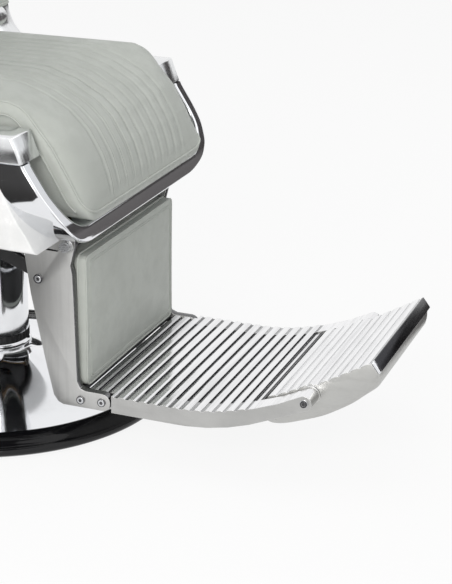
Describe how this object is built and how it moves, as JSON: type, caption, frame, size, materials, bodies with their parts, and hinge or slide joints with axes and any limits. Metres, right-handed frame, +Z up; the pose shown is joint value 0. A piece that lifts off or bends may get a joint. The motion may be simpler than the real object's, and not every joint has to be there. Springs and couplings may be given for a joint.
{
  "type": "hydraulic barber chair",
  "caption": "Barber chair with a round base, lifting and swivelling column, channelled seat, reclining back with headrest, linked leg rest and a ribbed footplate with a turning toe flap.",
  "frame": {"origin": "middle of the round base, on the floor", "axes": "+Z up along the column; the sitter faces -Y; +X is the sitter's left"},
  "size_m": [0.718, 1.2919, 1.2837],
  "materials": {
    "black_enamel": "gloss",
    "steel": "satin",
    "chrome": "mirror polished",
    "rubber": "matte",
    "black_frame": "satin",
    "plywood": "raw",
    "white_shell": "gloss",
    "upholstery": "semi-matt coated cloth over foam",
    "arm_alloy": "polished",
    "cast_aluminium": "satin, polished tops",
    "dark_trim": "polished dark",
    "knob": "gloss"
  },
  "bodies": {
    "base": {"base_rim": "black_enamel", "base_disc": "steel", "base_cover": "chrome", "column_ring": "chrome", "column_boot": "rubber", "pump_cylinder": "steel", "cylinder_gland": "steel", "pump_block": "black_frame", "pedal_axle": "steel"},
    "pedal": {"pump_pedal": "chrome", "pedal_pad": "rubber"},
    "plunger": {"pump_plunger": "steel"},
    "lift": {"lift_ram": "steel", "column_sleeve": "chrome", "thrust_ring": "steel", "spindle_nut": "steel"},
    "seat": {"swivel_hub": "black_frame", "swivel_beams": "black_frame", "side_plate_left": "black_frame", "side_plate_right": "black_frame", "cross_tubes": "black_frame", "seat_pan": "black_frame", "seat_board": "plywood", "seat_shell_left": "white_shell", "seat_shell_right": "white_shell", "seat_bumper": "chrome", "seat_cushion": "upholstery", "arm_left": "arm_alloy", "arm_right": "arm_alloy", "arm_pad_left": "upholstery", "arm_pad_right": "upholstery", "seat_bolts": "steel", "hinge_plates": "cast_aluminium", "leg_pins": "steel", "recline_pins": "steel", "lock_clamp": "black_frame"},
    "lock_lever": {"recline_lever": "chrome", "lever_knob": "knob"},
    "leg_rest": {"leg_bracket_left": "cast_aluminium", "leg_bracket_right": "cast_aluminium", "leg_crossbar": "steel", "leg_link_pins": "steel", "calf_board": "black_frame", "calf_pad": "upholstery", "foot_screws": "steel", "footplate": "cast_aluminium", "flap_pins": "steel"},
    "flap": {"toe_flap": "cast_aluminium", "flap_edge": "dark_trim"},
    "back": {"back_frame": "black_frame", "back_link_pins": "steel", "back_board": "plywood", "back_cushion": "upholstery", "back_shell": "white_shell", "post_guides": "chrome"},
    "links": {"leg_links": "black_frame"},
    "head_slide": {"headrest_posts": "chrome"},
    "headrest": {"headrest_yoke": "steel", "headrest_board": "black_frame", "headrest_cushion": "upholstery"}
  },
  "joints": [
    {"name": "pedal_press", "type": "hinge", "parent": "base", "child": "pedal", "pos_m": [0, 0.076, 0.066], "axis": [-1, 0, 0], "range_deg": [0, 5.5], "stiffness_Nm_per_rad": 40, "springref_deg": -8.59},
    {"name": "plunger_stroke", "type": "slide", "parent": "base", "child": "plunger", "axis": [0, 0, -1], "range_m": [0, 0.004]},
    {"name": "column_lift", "type": "slide", "parent": "base", "child": "lift", "axis": [0, 0, 1], "range_m": [0, 0.15]},
    {"name": "seat_swivel", "type": "hinge", "parent": "lift", "child": "seat", "pos_m": [0, 0, 0.4], "axis": [0, 0, 1], "continuous": true},
    {"name": "lock_pull", "type": "hinge", "parent": "seat", "child": "lock_lever", "pos_m": [0, 0.19053, 0.49555], "axis": [-1, 0, 0], "range_deg": [0, 20], "stiffness_Nm_per_rad": 6, "springref_deg": -14.32},
    {"name": "back_recline", "type": "hinge", "parent": "seat", "child": "back", "pos_m": [0, 0.222, 0.582], "axis": [-1, 0, 0], "range_deg": [0, 45]},
    {"name": "leg_raise", "type": "hinge", "parent": "seat", "child": "leg_rest", "pos_m": [0, -0.273, 0.402], "axis": [-1, 0, 0], "range_deg": [0, 45]},
    {"name": "link_swing", "type": "hinge", "parent": "back", "child": "links", "pos_m": [0, 0.28307, 0.50923], "axis": [-1, 0, 0], "range_deg": [-45, 0]},
    {"name": "flap_turn", "type": "hinge", "parent": "leg_rest", "child": "flap", "pos_m": [0, -0.719, 0.173], "axis": [-1, 0, 0], "range_deg": [0, 150]},
    {"name": "headrest_slide", "type": "slide", "parent": "back", "child": "head_slide", "axis": [0, 0.2079, 0.9781], "range_m": [0, 0.12]},
    {"name": "headrest_tilt", "type": "hinge", "parent": "head_slide", "child": "headrest", "pos_m": [0, 0.3877, 1.19801], "axis": [-1, 0, 0], "range_deg": [-10, 30]}
  ],
  "couplings": [
    {"joint": "plunger_stroke", "follows": "pedal_press", "m_per_rad": 0.04},
    {"joint": "leg_raise", "follows": "back_recline", "ratio": 1},
    {"joint": "link_swing", "follows": "back_recline", "ratio": -1}
  ]
}
